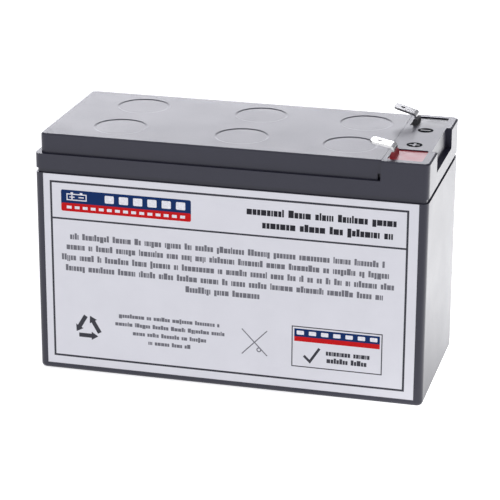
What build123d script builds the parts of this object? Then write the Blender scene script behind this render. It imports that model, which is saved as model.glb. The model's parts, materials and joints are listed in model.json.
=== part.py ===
from build123d import *
import os

# Sealed twelve volt lead-acid block: millimetres, +Z up, origin at the middle of the underside.
# +X runs along the length to the terminal end, and the labelled front wall faces -Y.

# Case
case_length = 151.0
case_width = 65.0
case_height = 95.0
lid_height = 14.3
cover_height = 7.7
wall = 2.2
floor_thickness = 2.6
partition = 1.6
corner_radius = 2.4
base_radius = 1.6
edge_break = 0.6
tight_radius = 0.3

# Glued joint between container and lid
rim_tongue = 0.9
rim_lap = 2.0
glue_gap = 0.15
seam_groove_depth = 0.7
seam_groove_half = 0.85
lid_plate = 2.4
rib_wall = 1.2

# Vent cover
cover_end_inset = 1.9
cover_side_inset = 1.2
cover_gap = 0.1
cover_wall = 1.8
cover_top = 2.0
cover_rim_height = 1.5
cover_rim_wall = 1.2
cover_fit = 0.2
dish_diameter = 20.6
dish_depth = 0.2
dish_slope = 0.8
pry_slot_width = 1.2
pry_slot_height = 2.6
vent_slit_width = 3.0
vent_slit_height = 0.6
vent_slit_spacing = 24.0

# Valves
valve_shift_left = 2.6
valve_shift_middle = 0.9
valve_end_margin = 15.0
valve_row_shift = -0.7
vent_tube_diameter = 7.0
vent_bore = 3.0
cap_diameter = 10.4
cap_top = 1.6
cap_skirt = 3.6
cap_fit = 0.1
cap_chamfer = 0.4

# Terminal block on the lid
block_length = 17.9
well_length = 13.0
well_width = 13.8
well_end_wall = 3.3
well_front_wall = 3.3
well_radius = 1.0
resin_recess = 0.4
resin_cover = 2.2
resin_climb = 2.0
resin_skin = 0.7
resin_taper = 13.0
notch_width = 32.0
notch_depth = 2.2
notch_height = 7.9

# Blade terminals
tab_width = 6.35
tab_thickness = 0.8
tab_leg_margin = 1.5
tab_leg_rise = 3.2
tab_blade = 9.0
tab_bend = 1.2
tab_tip_radius = 1.8
tab_hole = 1.8
tab_hole_setback = 3.2
tab_foot = 2.6
positive_tab_rise = 11.0
negative_tab_rise = 16.0

# Posts
post_diameter = 7.0
post_gap = 0.2
collar_diameter = 10.0
collar_height = 2.0
gasket_ring = 2.2
gasket_height = 1.6

# Label
label_length = 144.4
label_bottom = 2.5
label_seam_margin = 1.0
label_thickness = 0.2
label_recess = 0.25

# Cell stacks
positive_thickness = 2.6
negative_thickness = 1.9
mat_least = 1.0
stack_gap = 0.2
plate_side_gap = 1.4
mat_side_gap = 0.4
mat_overlap = 1.5
lug_width = 8.0
lug_height = 3.5
strap_width = 9.0
strap_height = 4.0
strap_headroom = 3.1
link_thickness = 3.0
link_width = 11.0
link_headroom = 0.4
weld_diameter = 6.0

# Flat sides of the round pieces that are closed in the case
hidden_sides = 14

# Levels and places that follow from the sizes above
half_length = case_length / 2
half_width = case_width / 2
seam_z = case_height - lid_height
cover_z = case_height - cover_height
plate_z = cover_z - lid_plate
rim_top = seam_z + rim_lap
lap_top = rim_top + glue_gap
rim_land = wall - rim_tongue
lip = rim_land - glue_gap
block_x = half_length - block_length
cover_left = -half_length + cover_end_inset
cover_side = half_width - cover_side_inset
cover_right = block_x - cover_gap
cover_under = case_height - cover_top
tube_top = cover_under - cap_top
resin_top = case_height - resin_recess
post_top = resin_top - resin_cover - tab_thickness
post_x = half_length - well_end_wall - well_length / 2
post_y = half_width - well_front_wall - well_width / 2
leg_x = post_x - well_length / 2 + tab_leg_margin
cell_length = (case_length - 2 * wall - 2 * partition) / 3
cell_depth = (case_width - 2 * wall - partition) / 2
cell_pitch = cell_length + partition
cell_y = (cell_depth + partition) / 2
valve_y = cell_y + valve_row_shift
valve_columns = (
    -cell_pitch + valve_shift_left,
    valve_shift_middle,
    cover_right - valve_end_margin,
)
strap_top = seam_z - strap_headroom
strap_bottom = strap_top - strap_height
plate_top = strap_bottom - lug_height
link_top = seam_z - link_headroom
weld_z = (strap_bottom + link_top) / 2
lug_offset = post_x - cell_pitch
stack_depth = cell_depth - 2 * stack_gap
pair_depth = positive_thickness + negative_thickness + 2 * mat_least
positive_count = int((stack_depth - negative_thickness) / pair_depth)
negative_count = positive_count + 1
mat_count = 2 * positive_count
plates_depth = positive_count * positive_thickness + negative_count * negative_thickness
mat_thickness = (stack_depth - plates_depth) / mat_count
label_top = seam_z - label_seam_margin

# Cells as column and row, in the order of the current: out along the front, back along the rear
cells = ((1, -1), (0, -1), (-1, -1), (-1, 1), (0, 1), (1, 1))


def block(x0, x1, y0, y1, z0, z1):
    """A box between two limits on each axis."""
    return Pos((x0 + x1) / 2, (y0 + y1) / 2, (z0 + z1) / 2) * Box(x1 - x0, y1 - y0, z1 - z0)


def round_bar(diameter, start, end):
    """A round bar from one point to another, with flat sides."""
    along = Vector(*end) - Vector(*start)
    outline = RegularPolygon(diameter / 2, hidden_sides)
    return extrude(Plane(origin=start, z_dir=along) * outline, amount=along.length)


def upright(diameter, x, y, z0, z1):
    """A round bar that stands upright between two levels."""
    return round_bar(diameter, (x, y, z0), (x, y, z1))


def case_prism(inset, z0, z1):
    """The case's rounded outline, moved inwards and drawn up between two levels."""
    radius = max(corner_radius - inset, tight_radius)
    outline = RectangleRounded(case_length - 2 * inset, case_width - 2 * inset, radius)
    return extrude(Pos(0, 0, z0) * outline, amount=z1 - z0)


def valve_places():
    """The six valve axes, row by row."""
    return [(x, y) for y in (-valve_y, valve_y) for x in valve_columns]


def front_panel(depth):
    """A sheet of the label's outline, from the front wall inwards."""
    half = label_length / 2
    return block(-half, half, -half_width, -half_width + depth, label_bottom, label_top)


def make_container():
    """The jar: six cells, a tongue round the rim, and a weld hole where each cell joins the next."""
    jar = case_prism(0, 0, seam_z - seam_groove_half)
    jar = fillet(jar.edges().group_by(Axis.Z)[0], base_radius)
    jar += case_prism(seam_groove_depth, seam_z - seam_groove_half, seam_z)
    jar += case_prism(rim_land, seam_z, rim_top)
    for column, row in cells:
        x = column * cell_pitch
        y = row * cell_y
        jar -= block(
            x - cell_length / 2, x + cell_length / 2,
            y - cell_depth / 2, y + cell_depth / 2,
            floor_thickness, rim_top,
        )
    half = partition / 2
    for x in (-cell_pitch / 2, cell_pitch / 2):
        for y in (-cell_y, cell_y):
            jar -= round_bar(weld_diameter, (x - half, y, weld_z), (x + half, y, weld_z))
    left_x = -cell_pitch - lug_offset
    jar -= round_bar(weld_diameter, (left_x, -half, weld_z), (left_x, half, weld_z))
    return jar - front_panel(label_recess)


def partition_ribs():
    """Ribs under the lid, each with a groove for the top of a partition."""
    outer = partition / 2 + glue_gap + rib_wall
    inner = partition / 2 + glue_gap
    end_x = half_length - wall
    end_y = half_width - wall
    ribs = []
    grooves = []
    for x in (-cell_pitch / 2, cell_pitch / 2):
        ribs.append(block(x - outer, x + outer, -end_y + glue_gap, end_y - glue_gap, seam_z, lap_top))
        ribs.append(block(x - outer, x + outer, -end_y, end_y, lap_top, plate_z))
        grooves.append(block(x - inner, x + inner, -end_y, end_y, seam_z, lap_top))
    ribs.append(block(-end_x + glue_gap, end_x - glue_gap, -outer, outer, seam_z, lap_top))
    ribs.append(block(-end_x, end_x, -outer, outer, lap_top, plate_z))
    grooves.append(block(-end_x, end_x, -inner, inner, seam_z, lap_top))
    return ribs, grooves


def terminal_well(row, z0, z1):
    """The space of one terminal well between two levels."""
    outline = RectangleRounded(well_length, well_width, well_radius)
    return extrude(Pos(post_x, row * post_y, z0) * outline, amount=z1 - z0)


def make_lid():
    """The glued lid: skirt and plate, terminal block, wells, end notch, vent tubes and partition ribs."""
    lid = case_prism(0, seam_z + seam_groove_half, cover_z)
    lid += case_prism(seam_groove_depth, seam_z, seam_z + seam_groove_half)
    raised = case_prism(0, plate_z, case_height)
    raised &= block(block_x, half_length, -half_width, half_width, plate_z, case_height)
    lid += chamfer(raised.edges().group_by(Axis.Z)[-1].sort_by(Axis.X)[1:], edge_break)
    lid -= block(
        half_length - notch_depth, half_length + notch_depth,
        -notch_width / 2, notch_width / 2,
        case_height - notch_height, case_height + notch_height,
    )
    lid -= case_prism(lip, seam_z, lap_top)
    lid -= block(
        -half_length + wall, half_length - wall,
        -half_width + wall, half_width - wall,
        lap_top, plate_z,
    )
    core_y = post_y - well_width / 2 - wall
    lid -= block(block_x + wall, half_length - notch_depth - wall, -core_y, core_y, plate_z, cover_under)
    ribs, grooves = partition_ribs()
    lid += ribs
    lid -= grooves
    for row in (-1, 1):
        lid -= terminal_well(row, cover_z, case_height)
        lid -= upright(post_diameter + 2 * post_gap, post_x, row * post_y, plate_z, cover_z)
    inset = cover_wall + cover_fit
    rim = block(
        cover_left + inset, cover_right - inset,
        -cover_side + inset, cover_side - inset,
        cover_z, cover_z + cover_rim_height,
    )
    inset += cover_rim_wall
    rim -= block(
        cover_left + inset, cover_right - inset,
        -cover_side + inset, cover_side - inset,
        cover_z, cover_z + cover_rim_height,
    )
    lid += rim
    lid += [upright(vent_tube_diameter, x, y, cover_z, tube_top) for x, y in valve_places()]
    lid -= [upright(vent_bore, x, y, plate_z, tube_top) for x, y in valve_places()]
    return lid


def make_vent_cover():
    """The cap over the valves: a shallow shell with round dishes, two gas slits and two pry slots."""
    shell = block(cover_left, cover_right, -cover_side, cover_side, cover_z, case_height)
    shell = fillet(shell.edges().filter_by(Axis.Z).group_by(Axis.X)[0], corner_radius)
    shell = chamfer(shell.edges().group_by(Axis.Z)[-1].sort_by(Axis.X)[:-1], edge_break)
    shell -= block(
        cover_left + cover_wall, cover_right - cover_wall,
        -cover_side + cover_wall, cover_side - cover_wall,
        cover_z, cover_under,
    )
    for x, y in valve_places():
        radius = dish_diameter / 2
        dish = Cone(radius - dish_slope, radius, dish_depth, align=(Align.CENTER, Align.CENTER, Align.MAX))
        shell -= Pos(x, y, case_height) * dish
    for y in (-vent_slit_spacing / 2, vent_slit_spacing / 2):
        shell -= block(
            cover_left, cover_left + cover_wall,
            y - vent_slit_width / 2, y + vent_slit_width / 2,
            cover_z, cover_z + vent_slit_height,
        )
    for y in (-cover_side, cover_side - cover_wall):
        shell -= block(
            cover_right - pry_slot_width, cover_right,
            y, y + cover_wall,
            cover_z, cover_z + pry_slot_height,
        )
    return shell


def make_valve_cap(x, y):
    """A rubber cup over a vent tube, pressed down by the vent cover."""
    cap = upright(cap_diameter, x, y, tube_top - cap_skirt, cover_under)
    cap = chamfer(cap.edges().group_by(Axis.Z)[-1], cap_chamfer)
    return cap - upright(vent_tube_diameter + 2 * cap_fit, x, y, tube_top - cap_skirt, tube_top)


def make_tab(row, rise):
    """A blade terminal: foot on the post, leg out of the resin, blade bent over towards the middle."""
    y = row * post_y
    foot_z = post_top + tab_thickness / 2
    bend_z = case_height + tab_leg_rise
    blade = Vector(-tab_blade, 0, 0).rotate(Axis.Y, rise)
    bend = Vector(leg_x, y, bend_z)
    path = FilletPolyline(
        (post_x + tab_foot, y, foot_z),
        (leg_x, y, foot_z),
        bend,
        bend + blade,
        radius=tab_bend,
    )
    section = Plane(origin=path @ 0, x_dir=(0, 1, 0), z_dir=path % 0) * Rectangle(tab_width, tab_thickness)
    tab = sweep(section, path=path)
    tip = tab.faces().sort_by(Axis.X)[0]
    corners = tip.edges().sort_by(SortBy.LENGTH)[:2]
    tab = fillet(corners, tab_tip_radius)
    hole_at = bend + blade * (1 - tab_hole_setback / tab_blade)
    normal = blade.cross(Vector(0, 1, 0))
    drill = Plane(origin=hole_at, z_dir=normal) * Cylinder(tab_hole / 2, 4 * tab_thickness)
    return tab - drill


def make_post(row):
    """A lead post from the end strap up into the well, with a collar under the lid."""
    y = row * post_y
    post = upright(post_diameter, post_x, y, strap_top, post_top)
    return post + upright(collar_diameter, post_x, y, plate_z - collar_height, plate_z)


def make_gasket(row):
    """A rubber ring round the post on the floor of the well."""
    y = row * post_y
    ring = upright(post_diameter + 2 * gasket_ring, post_x, y, cover_z, cover_z + gasket_height)
    return ring - upright(post_diameter, post_x, y, cover_z, cover_z + gasket_height)


def make_seal(row, inside):
    """Resin that fills a well round the pieces inside it, drawn up a little round the tab's leg."""
    seal = terminal_well(row, cover_z, resin_top)
    foot = Rectangle(tab_thickness + 2 * resin_skin, tab_width + 2 * resin_skin)
    seal += extrude(Pos(leg_x, row * post_y, resin_top) * foot, amount=resin_climb, taper=resin_taper)
    for piece in inside:
        seal -= piece
    return seal


def stack_layers(row):
    """The layers of one cell from front to back, as kind, front face and back face."""
    order = []
    for number in range(negative_count):
        order.append(("negative", negative_thickness))
        if number < positive_count:
            order += [("mat", mat_thickness), ("positive", positive_thickness), ("mat", mat_thickness)]
    layers = []
    y = row * cell_y - stack_depth / 2
    for kind, thickness in order:
        layers.append((kind, y, y + thickness))
        y += thickness
    return layers


def make_plates(column, row, kind, side):
    """All the plates of one kind in a cell, each with its lug up to the strap."""
    x = column * cell_pitch
    lug_x = x + side * lug_offset
    half_plate = cell_length / 2 - plate_side_gap
    plates = []
    for layer, front, back in stack_layers(row):
        if layer == kind:
            plate = block(x - half_plate, x + half_plate, front, back, floor_thickness, plate_top)
            plate += block(
                lug_x - lug_width / 2, lug_x + lug_width / 2, front, back, plate_top, strap_bottom,
            )
            plates.append(plate)
    return Compound(children=plates)


def make_separators(column, row):
    """The glass mat sheets of one cell, a little wider and taller than the plates."""
    x = column * cell_pitch
    half_mat = cell_length / 2 - mat_side_gap
    sheets = []
    for layer, front, back in stack_layers(row):
        if layer == "mat":
            sheets.append(
                block(x - half_mat, x + half_mat, front, back, floor_thickness, plate_top + mat_overlap)
            )
    return Compound(children=sheets)


def make_strap(column, row, side, link):
    """A cast strap over the lugs, with an upright link and half a weld to the next cell."""
    x = column * cell_pitch + side * lug_offset
    y = row * cell_y
    half_strap = strap_width / 2
    half_link = link_width / 2
    strap = block(
        x - half_strap, x + half_strap, y - stack_depth / 2, y + stack_depth / 2, strap_bottom, strap_top,
    )
    if link == "column":
        wall_x = column * cell_pitch + side * cell_length / 2
        near, far = sorted((wall_x, wall_x - side * link_thickness))
        strap += block(near, far, y - half_link, y + half_link, strap_bottom, link_top)
        reach_x = wall_x - side * link_thickness
        near, far = sorted((reach_x, x))
        strap += block(near, far, y - half_link, y + half_link, strap_bottom, strap_top)
        strap += round_bar(weld_diameter, (wall_x, y, weld_z), (wall_x + side * partition / 2, y, weld_z))
    if link == "row":
        wall_y = row * partition / 2
        near, far = sorted((wall_y, wall_y + row * link_thickness))
        strap += block(x - half_strap, x + half_strap, near, far, strap_bottom, link_top)
        strap += round_bar(weld_diameter, (x, wall_y, weld_z), (x, 0, weld_z))
    return strap


def make_parts():
    """Every piece of the block, by name."""
    parts = {
        "container": make_container(),
        "lid": make_lid(),
        "vent_cover": make_vent_cover(),
        "front_label": Pos(0, label_recess - label_thickness, 0) * front_panel(label_thickness),
    }
    for number, (x, y) in enumerate(valve_places(), start=1):
        parts[f"valve_cap_{number}"] = make_valve_cap(x, y)
    for name, row, rise in (("positive", -1, positive_tab_rise), ("negative", 1, negative_tab_rise)):
        tab = make_tab(row, rise)
        post = make_post(row)
        gasket = make_gasket(row)
        parts[f"{name}_tab"] = tab
        parts[f"{name}_post"] = post
        parts[f"{name}_gasket"] = gasket
        parts[f"{name}_seal"] = make_seal(row, (tab, post, gasket))
    for number, (column, row) in enumerate(cells, start=1):
        positive_side = -row
        links = {"positive": "column", "negative": "column"}
        if column == -1:
            links["negative" if row == -1 else "positive"] = "row"
        if column == 1:
            links["positive" if row == -1 else "negative"] = "post"
        for kind, side in (("positive", positive_side), ("negative", -positive_side)):
            parts[f"{kind}_plates_{number}"] = make_plates(column, row, kind, side)
            parts[f"{kind}_strap_{number}"] = make_strap(column, row, side, links[kind])
        parts[f"separators_{number}"] = make_separators(column, row)
    return parts


os.makedirs("parts", exist_ok=True)
for part_name, shape in make_parts().items():
    export_step(shape, f"parts/{part_name}.step")
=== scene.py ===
import json
import math
import random

import bmesh
import bpy
from mathutils import Euler, Matrix, Vector


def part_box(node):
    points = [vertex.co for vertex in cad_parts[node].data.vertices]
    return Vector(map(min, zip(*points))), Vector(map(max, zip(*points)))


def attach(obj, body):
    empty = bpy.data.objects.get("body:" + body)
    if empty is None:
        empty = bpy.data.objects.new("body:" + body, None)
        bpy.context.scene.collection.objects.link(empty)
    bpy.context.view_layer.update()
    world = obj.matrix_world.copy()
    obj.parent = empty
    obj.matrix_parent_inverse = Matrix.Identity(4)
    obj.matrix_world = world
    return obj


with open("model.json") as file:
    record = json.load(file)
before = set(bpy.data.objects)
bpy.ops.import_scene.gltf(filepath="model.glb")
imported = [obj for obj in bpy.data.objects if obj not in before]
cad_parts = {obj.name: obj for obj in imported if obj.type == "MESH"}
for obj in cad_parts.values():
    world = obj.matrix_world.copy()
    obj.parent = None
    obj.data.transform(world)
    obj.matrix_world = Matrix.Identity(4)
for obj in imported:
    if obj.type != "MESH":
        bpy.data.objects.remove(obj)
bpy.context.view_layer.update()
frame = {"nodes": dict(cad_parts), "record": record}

# Sizes are in millimetres in the part's own frame, and MM turns them into metres.
MM = 0.001

# Camera, as it stood for the photograph, with angles in degrees
CAMERA_AT = (197.2, -758.6, 323.6)
CAMERA_AZIMUTH = 14.54
CAMERA_ELEVATION = 19.61
CAMERA_ROLL = 0.26
CAMERA_LENS = 153.7
CAMERA_SENSOR = 36.0

# Materials: the stretch of a noise's values that is used, and how much lighter thin ink is
NOISE_LOW = 0.3
NOISE_HIGH = 0.7
THIN_INK = 1.25

# Printed frame of the label
INK_LAYER = 0.012
FRAME_LEFT = -69.6
FRAME_RIGHT = 68.6
FRAME_BOTTOM = 5.6
FRAME_TOP = 77.1
FRAME_LINE = 0.8
RULE_Z = 62.2
RULE_LINE = 0.7

# Badge at the top left of the label
BADGE_LEFT = -65.2
BADGE_RIGHT = -14.0
BADGE_TOP = 73.8
BADGE_BOTTOM = 65.3
BADGE_SPLIT = 68.6
BADGE_CORNER = 0.7
BADGE_MARGIN = 1.1
LEVEL_BARS = 6
LEVEL_BAR_WIDTH = 3.6
LEVEL_BAR_PITCH = 5.6
LEVEL_BAR_CORNER = 0.4
DASH_WIDTH = 1.9
DASH_PITCH = 3.2

# Battery pictogram on the badge, with its signs and terminals as shares of its width or height
BATTERY_WIDTH = 8.0
BATTERY_HEADROOM = 0.3
BATTERY_LINE = 0.4
BATTERY_ARM = 0.13
TERMINAL_INSET = 0.27
TERMINAL_RISE = 0.2

# Lines of greeked text: left end, right end and baseline
HEADER_LINES = ((7.5, 64.3, 70.3), (13.5, 64.3, 65.3))
HEADER_CAP = 2.9
HEADER_STEM = 1.35
HEADER_SEED = 11
PARAGRAPH_LINES = (
    (-62.0, 60.5, 54.1),
    (-63.5, 62.3, 49.9),
    (-65.5, 64.0, 45.6),
    (-64.0, 62.3, 41.3),
    (-16.3, 14.2, 37.0),
)
PARAGRAPH_CAP = 2.5
PARAGRAPH_STEM = 0.95
PARAGRAPH_SEED = 20
SMALL_LINES = (
    (-43.0, -2.5, 24.0),
    (-44.5, -1.0, 20.6),
    (-37.5, -8.0, 17.2),
    (-31.3, -14.5, 13.9),
)
SMALL_CAP = 1.7
SMALL_STEM = 0.85
SMALL_SEED = 40

# Greeked text: heights and gaps as shares of the capital height
LOW_LETTER = 0.76
LETTER_TAIL = 0.2
LETTER_GAP = 0.09
WORD_GAP = 0.5

# Greeked text: letter widths as shares of the stem, letters in a word, and chances of tall and tailed ones
LETTER_WIDTHS = (0.5, 0.9, 1.0, 1.1, 1.5)
FEWEST_LETTERS = 2
MOST_LETTERS = 9
TALL_FIRST_CHANCE = 0.3
TALL_CHANCE = 0.1
TAIL_CHANCE = 0.05

# Loop of arrows on the sides of a triangle: start, neck and tip of each as shares of a side
LOOP_CENTRE = (-55.5, 18.4)
LOOP_RADIUS = 6.4
LOOP_LINE = 1.7
LOOP_ARROWS = 3
LOOP_SHARES = (0.16, 0.62, 0.86)

# Crossed lines
CROSS_LEFT = 5.8
CROSS_RIGHT = 15.7
CROSS_BOTTOM = 14.3
CROSS_TOP = 24.5
CROSS_LINE = 0.4
CROSS_RING_AT = (12.5, 16.5)
CROSS_RING = 0.95

# Small box with a band of bars, a tick and two lines of greeked text
BOX_LEFT = 25.2
BOX_RIGHT = 60.0
BOX_BOTTOM = 11.3
BOX_TOP = 27.8
BOX_LINE = 0.4
BAND_INSET = 1.0
BAND_BOTTOM = 21.7
BAND_SPLIT = 23.6
BAND_BARS = 7
BAND_BAR_SHARE = 0.6
BAND_BAR_MARGIN = 0.8
BAND_BAR_CORNER = 0.3
TICK = ((30.0, 16.0), (32.3, 13.8), (36.0, 19.5))
TICK_LINE = 1.0
BOX_LINES = ((38.5, 55.5, 17.0), (38.8, 54.8, 14.0))
BOX_CAP = 2.1
BOX_STEM = 0.95
BOX_SEED = 61

# Polarity signs on the terminal block
SIGN_LAYER = 0.02
SIGN_RADIUS = 3.0
SIGN_ARM = 1.9
SIGN_LINE = 0.9
POSITIVE_SIGN = (65.6, -9.0)
NEGATIVE_SIGN = (66.2, 10.8)

# Studio floor, which glows, most of all in an oval patch
FLOOR_SIZE = 8000.0
FLOOR_GLOW = 0.7
PATCH_GLOW = 2.55
PATCH_AT = (190.0, 225.0, 0.0)
PATCH_SIZE = (260.0, 330.0, 100.0)
PATCH_EDGE = 0.45

# Studio light
LIGHT_COLOUR = (0.94, 0.94, 1.0)
SURROUND_GLOW = 0.4
BACK_WALL_AT = (-1070.0, 2220.0, 700.0)
BACK_WALL_AIM = (0.0, 0.0, 95.0)
BACK_WALL_SIZE = (2280.0, 600.0)
BACK_WALL_GLOW = 5.8
CEILING_AT = (0.0, -500.0, 900.0)
CEILING_AIM = (0.0, -500.0, 0.0)
CEILING_SIZE = (1800.0, 1100.0)
CEILING_GLOW = 0.72


def link(tree, start, end):
    """Lead one node's output to another one's input."""
    tree.links.new(start, end)


def new_material(name):
    """A new node material, its node tree and its main shader."""
    material = bpy.data.materials.new(name)
    material.use_nodes = True
    tree = material.node_tree
    shader = next(n for n in tree.nodes if n.type == "BSDF_PRINCIPLED")
    return material, tree, shader


def noise(tree, scale, detail=3.0, roughness=0.55, stretch=None):
    """Noise in the part's own coordinates, with an optional scale for each axis."""
    coords = tree.nodes.new("ShaderNodeTexCoord")
    texture = tree.nodes.new("ShaderNodeTexNoise")
    texture.inputs["Scale"].default_value = scale
    texture.inputs["Detail"].default_value = detail
    texture.inputs["Roughness"].default_value = roughness
    if stretch is None:
        link(tree, coords.outputs["Object"], texture.inputs["Vector"])
    else:
        mapping = tree.nodes.new("ShaderNodeMapping")
        mapping.inputs["Scale"].default_value = stretch
        link(tree, coords.outputs["Object"], mapping.inputs["Vector"])
        link(tree, mapping.outputs["Vector"], texture.inputs["Vector"])
    return texture.outputs["Fac"]


def spread(tree, value, low, high, start=NOISE_LOW, end=NOISE_HIGH):
    """A value that goes from low to high while another one goes from start to end."""
    ranged = tree.nodes.new("ShaderNodeMapRange")
    ranged.inputs["From Min"].default_value = start
    ranged.inputs["From Max"].default_value = end
    ranged.inputs["To Min"].default_value = low
    ranged.inputs["To Max"].default_value = high
    link(tree, value, ranged.inputs["Value"])
    return ranged.outputs["Result"]


def tint(tree, value, dark, light):
    """A colour that goes from dark to light with a noise value."""
    ramp = tree.nodes.new("ShaderNodeValToRGB")
    ramp.color_ramp.elements[0].position = NOISE_LOW
    ramp.color_ramp.elements[0].color = (*dark, 1.0)
    ramp.color_ramp.elements[1].position = NOISE_HIGH
    ramp.color_ramp.elements[1].color = (*light, 1.0)
    link(tree, value, ramp.inputs["Fac"])
    return ramp.outputs["Color"]


def bump(tree, height, strength, distance):
    """A bump from a height value."""
    node = tree.nodes.new("ShaderNodeBump")
    node.inputs["Strength"].default_value = strength
    node.inputs["Distance"].default_value = distance
    link(tree, height, node.inputs["Height"])
    return node.outputs["Normal"]


def case_plastic():
    """Charcoal moulded plastic with a fine spark grain and a slight unevenness of gloss."""
    material, tree, shader = new_material("case_plastic")
    cloud = noise(tree, scale=60.0)
    grain = noise(tree, scale=2600.0, detail=2.0)
    colour = tint(tree, cloud, dark=(0.017, 0.017, 0.032), light=(0.021, 0.021, 0.038))
    link(tree, colour, shader.inputs["Base Color"])
    link(tree, spread(tree, cloud, low=0.34, high=0.37), shader.inputs["Roughness"])
    link(tree, bump(tree, grain, strength=0.2, distance=0.0001), shader.inputs["Normal"])
    shader.inputs["IOR"].default_value = 1.5
    return material


def label_film():
    """White printed film with a satin face and a faint orange-peel ripple."""
    material, tree, shader = new_material("label_film")
    cloud = noise(tree, scale=90.0)
    ripple = noise(tree, scale=700.0, detail=2.0)
    colour = tint(tree, cloud, dark=(0.72, 0.72, 0.76), light=(0.75, 0.75, 0.79))
    link(tree, colour, shader.inputs["Base Color"])
    link(tree, spread(tree, cloud, low=0.38, high=0.46), shader.inputs["Roughness"])
    link(tree, bump(tree, ripple, strength=0.15, distance=0.00004), shader.inputs["Normal"])
    shader.inputs["IOR"].default_value = 1.4
    return material


def ink(name, colour, gloss=0.12):
    """Printing ink with the slightly uneven cover of a screen print."""
    material, tree, shader = new_material(name)
    cover = noise(tree, scale=1500.0, detail=2.0)
    lighter = tuple(THIN_INK * channel for channel in colour)
    link(tree, tint(tree, cover, dark=colour, light=lighter), shader.inputs["Base Color"])
    link(tree, spread(tree, cover, low=0.45, high=0.6), shader.inputs["Roughness"])
    shader.inputs["Specular IOR Level"].default_value = gloss
    return material


def tinned_metal():
    """Tin plating with fine lines along the blade."""
    material, tree, shader = new_material("tinned_metal")
    lines = noise(tree, scale=400.0, stretch=(0.25, 6.0, 1.0))
    patch = noise(tree, scale=500.0)
    colour = tint(tree, patch, dark=(0.56, 0.56, 0.56), light=(0.66, 0.66, 0.65))
    link(tree, colour, shader.inputs["Base Color"])
    link(tree, spread(tree, lines, low=0.21, high=0.27), shader.inputs["Roughness"])
    link(tree, bump(tree, lines, strength=0.03, distance=0.00002), shader.inputs["Normal"])
    shader.inputs["Metallic"].default_value = 1.0
    return material


def resin(name, dark, light):
    """Cast resin with a soft, slightly wavy surface."""
    material, tree, shader = new_material(name)
    cloud = noise(tree, scale=250.0)
    wave = noise(tree, scale=180.0, detail=1.0)
    link(tree, tint(tree, cloud, dark, light), shader.inputs["Base Color"])
    link(tree, spread(tree, cloud, low=0.33, high=0.40), shader.inputs["Roughness"])
    link(tree, bump(tree, wave, strength=0.10, distance=0.0002), shader.inputs["Normal"])
    shader.inputs["IOR"].default_value = 1.57
    return material


def cast_metal(name, dark, light):
    """Dull cast lead or pasted plate, with a grainy skin."""
    material, tree, shader = new_material(name)
    grain = noise(tree, scale=900.0)
    link(tree, tint(tree, grain, dark, light), shader.inputs["Base Color"])
    link(tree, spread(tree, grain, low=0.5, high=0.75), shader.inputs["Roughness"])
    link(tree, bump(tree, grain, strength=0.4, distance=0.0002), shader.inputs["Normal"])
    shader.inputs["Metallic"].default_value = 0.8
    return material


def rubber():
    """Black moulded rubber."""
    material, tree, shader = new_material("valve_rubber")
    cloud = noise(tree, scale=600.0)
    colour = tint(tree, cloud, dark=(0.018, 0.018, 0.018), light=(0.03, 0.03, 0.03))
    link(tree, colour, shader.inputs["Base Color"])
    link(tree, spread(tree, cloud, low=0.6, high=0.75), shader.inputs["Roughness"])
    return material


def glass_mat():
    """White felted glass fibre."""
    material, tree, shader = new_material("glass_mat")
    fibre = noise(tree, scale=2200.0, detail=4.0, stretch=(1.0, 1.0, 0.3))
    colour = tint(tree, fibre, dark=(0.72, 0.73, 0.72), light=(0.86, 0.87, 0.86))
    link(tree, colour, shader.inputs["Base Color"])
    link(tree, spread(tree, fibre, low=0.8, high=0.95), shader.inputs["Roughness"])
    link(tree, bump(tree, fibre, strength=0.5, distance=0.0002), shader.inputs["Normal"])
    return material


def floor_glow(tree):
    """Light from below, as on a light table, brightest in an oval patch behind the terminal end."""
    coords = tree.nodes.new("ShaderNodeTexCoord")
    mapping = tree.nodes.new("ShaderNodeMapping")
    mapping.vector_type = "TEXTURE"
    mapping.inputs["Location"].default_value = Vector(PATCH_AT) * MM
    mapping.inputs["Scale"].default_value = Vector(PATCH_SIZE) * MM
    patch = tree.nodes.new("ShaderNodeTexGradient")
    patch.gradient_type = "SPHERICAL"
    link(tree, coords.outputs["Object"], mapping.inputs["Vector"])
    link(tree, mapping.outputs["Vector"], patch.inputs["Vector"])
    return spread(tree, patch.outputs["Fac"], low=FLOOR_GLOW, high=PATCH_GLOW, start=0.0, end=PATCH_EDGE)


def floor_paint():
    """White studio floor that glows a little."""
    material, tree, shader = new_material("studio_floor")
    cloud = noise(tree, scale=2.0)
    colour = tint(tree, cloud, dark=(0.80, 0.80, 0.81), light=(0.82, 0.82, 0.83))
    link(tree, colour, shader.inputs["Base Color"])
    link(tree, spread(tree, cloud, low=0.8, high=0.9), shader.inputs["Roughness"])
    shader.inputs["Emission Color"].default_value = (1.0, 1.0, 1.0, 1.0)
    link(tree, floor_glow(tree), shader.inputs["Emission Strength"])
    return material


def make_finishes():
    """The finish of each material slot."""
    return {
        "case_plastic": case_plastic(),
        "label_film": label_film(),
        "tinned_tab": tinned_metal(),
        "red_resin": resin("red_resin", dark=(0.30, 0.016, 0.024), light=(0.37, 0.022, 0.032)),
        "black_resin": resin("black_resin", dark=(0.018, 0.018, 0.02), light=(0.03, 0.03, 0.034)),
        "lead": cast_metal("lead", dark=(0.22, 0.23, 0.25), light=(0.34, 0.35, 0.37)),
        "valve_rubber": rubber(),
        "positive_paste": cast_metal("positive_paste", dark=(0.05, 0.03, 0.02), light=(0.09, 0.055, 0.04)),
        "negative_paste": cast_metal("negative_paste", dark=(0.16, 0.165, 0.18), light=(0.24, 0.245, 0.26)),
        "glass_mat": glass_mat(),
    }


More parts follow.
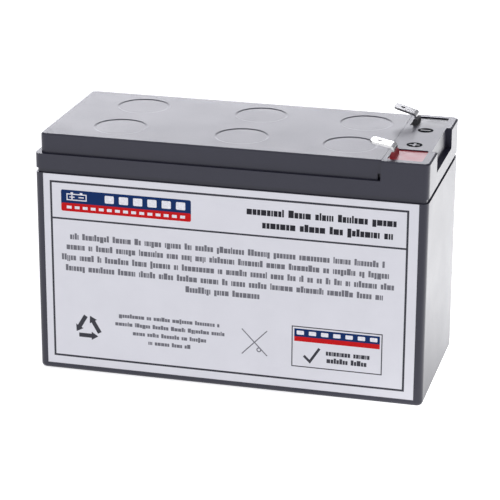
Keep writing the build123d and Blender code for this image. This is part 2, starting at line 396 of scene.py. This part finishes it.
def make_inks():
    """The printing inks."""
    return {
        "black": ink("black_ink", (0.020, 0.020, 0.026)),
        "dark": ink("dark_ink", (0.045, 0.045, 0.055)),
        "grey": ink("grey_ink", (0.15, 0.15, 0.17)),
        "navy": ink("navy_ink", (0.002, 0.022, 0.105)),
        "red": ink("red_ink", (0.50, 0.004, 0.006)),
        "white": ink("white_ink", (0.72, 0.72, 0.76)),
        "matte": ink("matte_ink", (0.012, 0.012, 0.014), gloss=0.0),
    }


def dress_nodes(finishes):
    """Give each carried-over node the finish of its material slot."""
    for entry in frame["record"]["subparts"]:
        node = frame["nodes"][entry["node"]]
        node.data.materials.clear()
        node.data.materials.append(finishes[entry["material_slot"]])


def rectangle(x0, x1, z0, z1):
    """Four corners of a rectangle."""
    return [(x0, z0), (x1, z0), (x1, z1), (x0, z1)]


def round_rectangle(x0, x1, z0, z1, radius, steps=6):
    """A rectangle with rounded corners."""
    corners = (
        (x1 - radius, z0 + radius, -90),
        (x1 - radius, z1 - radius, 0),
        (x0 + radius, z1 - radius, 90),
        (x0 + radius, z0 + radius, 180),
    )
    points = []
    for x, z, start in corners:
        for step in range(steps + 1):
            angle = math.radians(start + 90 * step / steps)
            points.append((x + radius * math.cos(angle), z + radius * math.sin(angle)))
    return points


def disc(x, z, radius, steps=40):
    """A round outline."""
    angles = [2 * math.pi * step / steps for step in range(steps)]
    return [(x + radius * math.cos(a), z + radius * math.sin(a)) for a in angles]


def border(x0, x1, z0, z1, line):
    """The outer and inner outline of a rectangular border."""
    return rectangle(x0, x1, z0, z1), rectangle(x0 + line, x1 - line, z0 + line, z1 - line)


def ring(x, z, radius, line):
    """The outer and inner outline of a ring."""
    return disc(x, z, radius), disc(x, z, radius - line)


def left_of(along):
    """The direction to the left of another one."""
    return Vector((-along.y, along.x)).normalized()


def crossed_bars(centre, tips, width):
    """Bars that run from a centre to each tip, as one outline, with the tips in turn round the centre."""
    half = width / 2
    arms = [Vector(tip) - Vector(centre) for tip in tips]
    points = []
    for arm, following in zip(arms, arms[1:] + arms[:1]):
        along = arm.normalized()
        onward = following.normalized()
        side = left_of(arm) * half
        inner_corner = (along + onward) * half / along.cross(onward)
        points += [arm - side, arm + side, inner_corner]
    return [tuple(Vector(centre) + point) for point in points]


def plus(x, z, arm, line):
    """A plus sign."""
    return crossed_bars((x, z), ((x, z - arm), (x + arm, z), (x, z + arm), (x - arm, z)), line)


def arrow(start, neck, tip, line):
    """A straight arrow, with a head twice as wide as its shaft."""
    side = left_of(tip - start) * line
    points = (
        start - side / 2, neck - side / 2, neck - side,
        tip,
        neck + side, neck + side / 2, start + side / 2,
    )
    return [tuple(point) for point in points]


def tick(start, corner, end, line):
    """A tick: two bars that meet in a mitre."""
    first = Vector(start)
    middle = Vector(corner)
    last = Vector(end)
    side = left_of(middle - first)
    onward_side = left_of(last - middle)
    mitre = (side + onward_side) / (1 + side.dot(onward_side)) * line / 2
    side *= line / 2
    onward_side *= line / 2
    points = (
        first - side, middle - mitre, last - onward_side,
        last + onward_side, middle + mitre, first + side,
    )
    return [tuple(point) for point in points]


def word_blocks(lines, cap_height, stem, seed):
    """Greeked text: letter-sized blocks in words, with no letters in it."""
    draw = random.Random(seed)
    blocks = []
    for left, right, baseline in lines:
        x = left
        while x < right - stem:
            for place in range(draw.randint(FEWEST_LETTERS, MOST_LETTERS)):
                width = stem * draw.choice(LETTER_WIDTHS)
                if x + width > right:
                    break
                tall = draw.random() < (TALL_FIRST_CHANCE if place == 0 else TALL_CHANCE)
                tailed = draw.random() < TAIL_CHANCE
                height = cap_height if tall else LOW_LETTER * cap_height
                tail = LETTER_TAIL * cap_height if tailed else 0.0
                blocks.append(rectangle(x, x + width, baseline - tail, baseline + height))
                x += width + LETTER_GAP * cap_height
            x += WORD_GAP * cap_height
    return blocks


def add_piece(name, mesh, material):
    """A piece of the visual model, from a finished bmesh."""
    data = bpy.data.meshes.new(name)
    bmesh.ops.recalc_face_normals(mesh, faces=mesh.faces)
    mesh.to_mesh(data)
    mesh.free()
    data.materials.append(material)
    piece = bpy.data.objects.new(name, data)
    bpy.context.scene.collection.objects.link(piece)
    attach(piece, "root")


def bridge(mesh, first, second):
    """Four-sided faces between two closed loops of points."""
    for i in range(len(first)):
        j = (i + 1) % len(first)
        mesh.faces.new((first[i], first[j], second[j], second[i]))


def prisms(name, outlines, material, place, thickness, hollows=()):
    """One piece made of thin prisms, where a hollow one has an outer and an inner outline.

    place turns a flat point and a height into a point of the part.
    """
    mesh = bmesh.new()

    def loop(outline, height):
        return [mesh.verts.new(place(u, v, height)) for u, v in outline]

    for outline in outlines:
        low = loop(outline, 0.0)
        high = loop(outline, thickness)
        mesh.faces.new(list(reversed(low)))
        mesh.faces.new(high)
        bridge(mesh, low, high)
    for outer, inner in hollows:
        loops = [loop(outer, 0.0), loop(outer, thickness), loop(inner, thickness), loop(inner, 0.0)]
        for first, second in zip(loops, loops[1:] + loops[:1]):
            bridge(mesh, first, second)
    add_piece(name, mesh, material)


def print_layer(name, outlines, material, level=0, hollows=()):
    """One layer of ink on the label, or at a higher level on other ink."""
    label_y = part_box("front_label")[0].y / MM - level * INK_LAYER

    def on_label(x, z, height):
        return Vector((x, label_y - height, z)) * MM

    prisms(name, outlines, material, on_label, INK_LAYER, hollows)


def print_frame(inks):
    """The outline of the print and the rule under its heading."""
    outline = border(FRAME_LEFT, FRAME_RIGHT, FRAME_BOTTOM, FRAME_TOP, FRAME_LINE)
    rule = rectangle(
        FRAME_LEFT + FRAME_LINE, FRAME_RIGHT - FRAME_LINE,
        RULE_Z - RULE_LINE / 2, RULE_Z + RULE_LINE / 2,
    )
    print_layer("label_frame", [rule], inks["dark"], hollows=[outline])


def battery_sign(x0, x1, z0, z1, line):
    """What a pictogram of a battery shows beside its box: two terminals, a plus and a minus."""
    width = x1 - x0
    middle = (z0 + z1) / 2
    arm = BATTERY_ARM * width
    left = x0 + TERMINAL_INSET * width
    right = x1 - TERMINAL_INSET * width
    top = z1 + TERMINAL_RISE * (z1 - z0)
    sign = [rectangle(x - arm / 2, x + arm / 2, z1, top) for x in (left, right)]
    sign.append(plus(left, middle, arm, line))
    sign.append(rectangle(right - arm, right + arm, middle - line / 2, middle + line / 2))
    return sign


def print_badge(inks):
    """A plain badge: a battery and a row of level bars on blue, over a row of dashes on red."""
    plate = round_rectangle(BADGE_LEFT, BADGE_RIGHT, BADGE_BOTTOM, BADGE_TOP, BADGE_CORNER)
    band = round_rectangle(BADGE_LEFT, BADGE_RIGHT, BADGE_BOTTOM, BADGE_SPLIT, BADGE_CORNER)
    print_layer("badge_plate", [plate], inks["navy"])
    print_layer("badge_band", [band], inks["red"], level=1)
    left = BADGE_LEFT + 2 * BADGE_MARGIN
    right = BADGE_RIGHT - 2 * BADGE_MARGIN
    low = BADGE_SPLIT + BADGE_MARGIN
    high = BADGE_TOP - BADGE_MARGIN
    sign_box = (left, left + BATTERY_WIDTH, low, high - BATTERY_HEADROOM, BATTERY_LINE)
    signs = battery_sign(*sign_box)
    for number in range(LEVEL_BARS):
        x = right - LEVEL_BAR_WIDTH - LEVEL_BAR_PITCH * number
        signs.append(round_rectangle(x, x + LEVEL_BAR_WIDTH, low, high, LEVEL_BAR_CORNER))
    x = left
    while x + DASH_WIDTH < right:
        signs.append(rectangle(x, x + DASH_WIDTH, BADGE_BOTTOM + BADGE_MARGIN, BADGE_SPLIT - BADGE_MARGIN))
        x += DASH_PITCH
    print_layer("badge_signs", signs, inks["white"], level=2, hollows=[border(*sign_box)])


def print_text(inks):
    """The greeked lines of the heading, the paragraph and the small notice."""
    header = word_blocks(HEADER_LINES, HEADER_CAP, HEADER_STEM, HEADER_SEED)
    paragraph = word_blocks(PARAGRAPH_LINES, PARAGRAPH_CAP, PARAGRAPH_STEM, PARAGRAPH_SEED)
    small = word_blocks(SMALL_LINES, SMALL_CAP, SMALL_STEM, SMALL_SEED)
    print_layer("header_text", header, inks["black"])
    print_layer("paragraph_text", paragraph, inks["grey"])
    print_layer("small_text", small, inks["grey"])


def print_loop(inks):
    """A loop of arrows, one on each side of a triangle that stands on its base."""
    corners = []
    for turn in range(LOOP_ARROWS):
        angle = math.radians(90 + turn * 360 / LOOP_ARROWS)
        corners.append(Vector(LOOP_CENTRE) + LOOP_RADIUS * Vector((math.cos(angle), math.sin(angle))))
    loop = []
    for first, second in zip(corners, corners[1:] + corners[:1]):
        start, neck, tip = (first + share * (second - first) for share in LOOP_SHARES)
        loop.append(arrow(start, neck, tip, LOOP_LINE))
    print_layer("loop_sign", loop, inks["dark"])


def print_cross(inks):
    """A pair of crossed lines with a small ring."""
    centre = ((CROSS_LEFT + CROSS_RIGHT) / 2, (CROSS_BOTTOM + CROSS_TOP) / 2)
    tips = rectangle(CROSS_LEFT, CROSS_RIGHT, CROSS_BOTTOM, CROSS_TOP)
    print_layer("cross_sign", [crossed_bars(centre, tips, CROSS_LINE)], inks["grey"])
    small_ring = ring(*CROSS_RING_AT, CROSS_RING, CROSS_LINE)
    print_layer("cross_ring", [], inks["grey"], level=1, hollows=[small_ring])


def print_box(inks):
    """A small box with a two-coloured band, a tick and two lines of greeked text."""
    left = BOX_LEFT + BAND_INSET
    right = BOX_RIGHT - BAND_INSET
    top = BOX_TOP - BAND_INSET
    outline = border(BOX_LEFT, BOX_RIGHT, BOX_BOTTOM, BOX_TOP, BOX_LINE)
    print_layer("box_border", [], inks["dark"], hollows=[outline])
    print_layer("box_band", [rectangle(left, right, BAND_SPLIT, top)], inks["navy"])
    print_layer("box_stripe", [rectangle(left, right, BAND_BOTTOM, BAND_SPLIT)], inks["red"])
    pitch = (right - left) / BAND_BARS
    bar_low = BAND_SPLIT + BAND_BAR_MARGIN
    bar_high = top - BAND_BAR_MARGIN
    bars = []
    for number in range(BAND_BARS):
        x = left + pitch * (number + (1 - BAND_BAR_SHARE) / 2)
        bars.append(round_rectangle(x, x + BAND_BAR_SHARE * pitch, bar_low, bar_high, BAND_BAR_CORNER))
    print_layer("box_signs", bars, inks["white"], level=1)
    print_layer("tick_sign", [tick(*TICK, TICK_LINE)], inks["dark"])
    print_layer("box_text", word_blocks(BOX_LINES, BOX_CAP, BOX_STEM, BOX_SEED), inks["dark"])


def mark_polarity(finishes, inks):
    """Dark discs on the terminal block, with a plus by the front well and a minus by the rear one."""
    lid_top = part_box("lid")[1].z / MM

    def on_lid(x, y, height):
        return Vector((x, y, lid_top + height)) * MM

    def on_disc(x, y, height):
        return on_lid(x, y, SIGN_LAYER + height)

    plastic = finishes["case_plastic"]
    half = SIGN_LINE / 2
    x, y = NEGATIVE_SIGN
    signs = {
        "positive": (POSITIVE_SIGN, plus(*POSITIVE_SIGN, SIGN_ARM, SIGN_LINE)),
        "negative": (NEGATIVE_SIGN, rectangle(x - SIGN_ARM, x + SIGN_ARM, y - half, y + half)),
    }
    for name, (centre, sign) in signs.items():
        plate = disc(*centre, SIGN_RADIUS)
        prisms(f"{name}_disc", [plate], inks["matte"], on_lid, SIGN_LAYER)
        prisms(f"{name}_sign", [sign], plastic, on_disc, SIGN_LAYER)


def make_floor():
    """A wide plain floor under the part."""
    bpy.ops.mesh.primitive_plane_add(size=FLOOR_SIZE * MM, location=(0, 0, 0))
    floor = bpy.context.object
    floor.name = "studio_floor"
    floor.data.materials.append(floor_paint())


def area_light(name, at, aim, size, radiance):
    """A soft panel of light of a given brightness, hidden from the camera."""
    data = bpy.data.lights.new(name, "AREA")
    data.shape = "RECTANGLE"
    data.size = size[0] * MM
    data.size_y = size[1] * MM
    data.energy = radiance * math.pi * data.size * data.size_y
    data.color = LIGHT_COLOUR
    light = bpy.data.objects.new(name, data)
    light.location = Vector(at) * MM
    light.rotation_euler = (Vector(aim) - Vector(at)).to_track_quat("-Z", "Y").to_euler()
    light.visible_camera = False
    bpy.context.scene.collection.objects.link(light)


def light_studio():
    """Pale surroundings, a bright wall far behind, and a dim panel overhead in front."""
    world = bpy.data.worlds.new("studio")
    world.use_nodes = True
    background = next(n for n in world.node_tree.nodes if n.type == "BACKGROUND")
    background.inputs["Color"].default_value = (*LIGHT_COLOUR, 1.0)
    background.inputs["Strength"].default_value = SURROUND_GLOW
    bpy.context.scene.world = world
    area_light("back_wall", BACK_WALL_AT, BACK_WALL_AIM, BACK_WALL_SIZE, BACK_WALL_GLOW)
    area_light("front_ceiling", CEILING_AT, CEILING_AIM, CEILING_SIZE, CEILING_GLOW)


def place_camera():
    """The photograph's camera, with a longer lens so that the part fills the frame."""
    data = bpy.data.cameras.new("camera")
    data.sensor_width = CAMERA_SENSOR
    data.lens = CAMERA_LENS
    camera = bpy.data.objects.new("camera", data)
    camera.location = Vector(CAMERA_AT) * MM
    level = Euler((math.radians(90 - CAMERA_ELEVATION), 0, math.radians(CAMERA_AZIMUTH)))
    roll = Matrix.Rotation(math.radians(CAMERA_ROLL), 3, "Z")
    camera.rotation_euler = (level.to_matrix() @ roll).to_euler()
    bpy.context.scene.collection.objects.link(camera)
    bpy.context.scene.camera = camera


def plain_colours():
    """Colours as they are, without a film curve."""
    bpy.context.scene.view_settings.view_transform = "Standard"


# The finishes and the print of the part, and then the studio
finishes = make_finishes()
inks = make_inks()
dress_nodes(finishes)
print_frame(inks)
print_badge(inks)
print_text(inks)
print_loop(inks)
print_cross(inks)
print_box(inks)
mark_polarity(finishes, inks)
make_floor()
light_studio()
place_camera()
plain_colours()
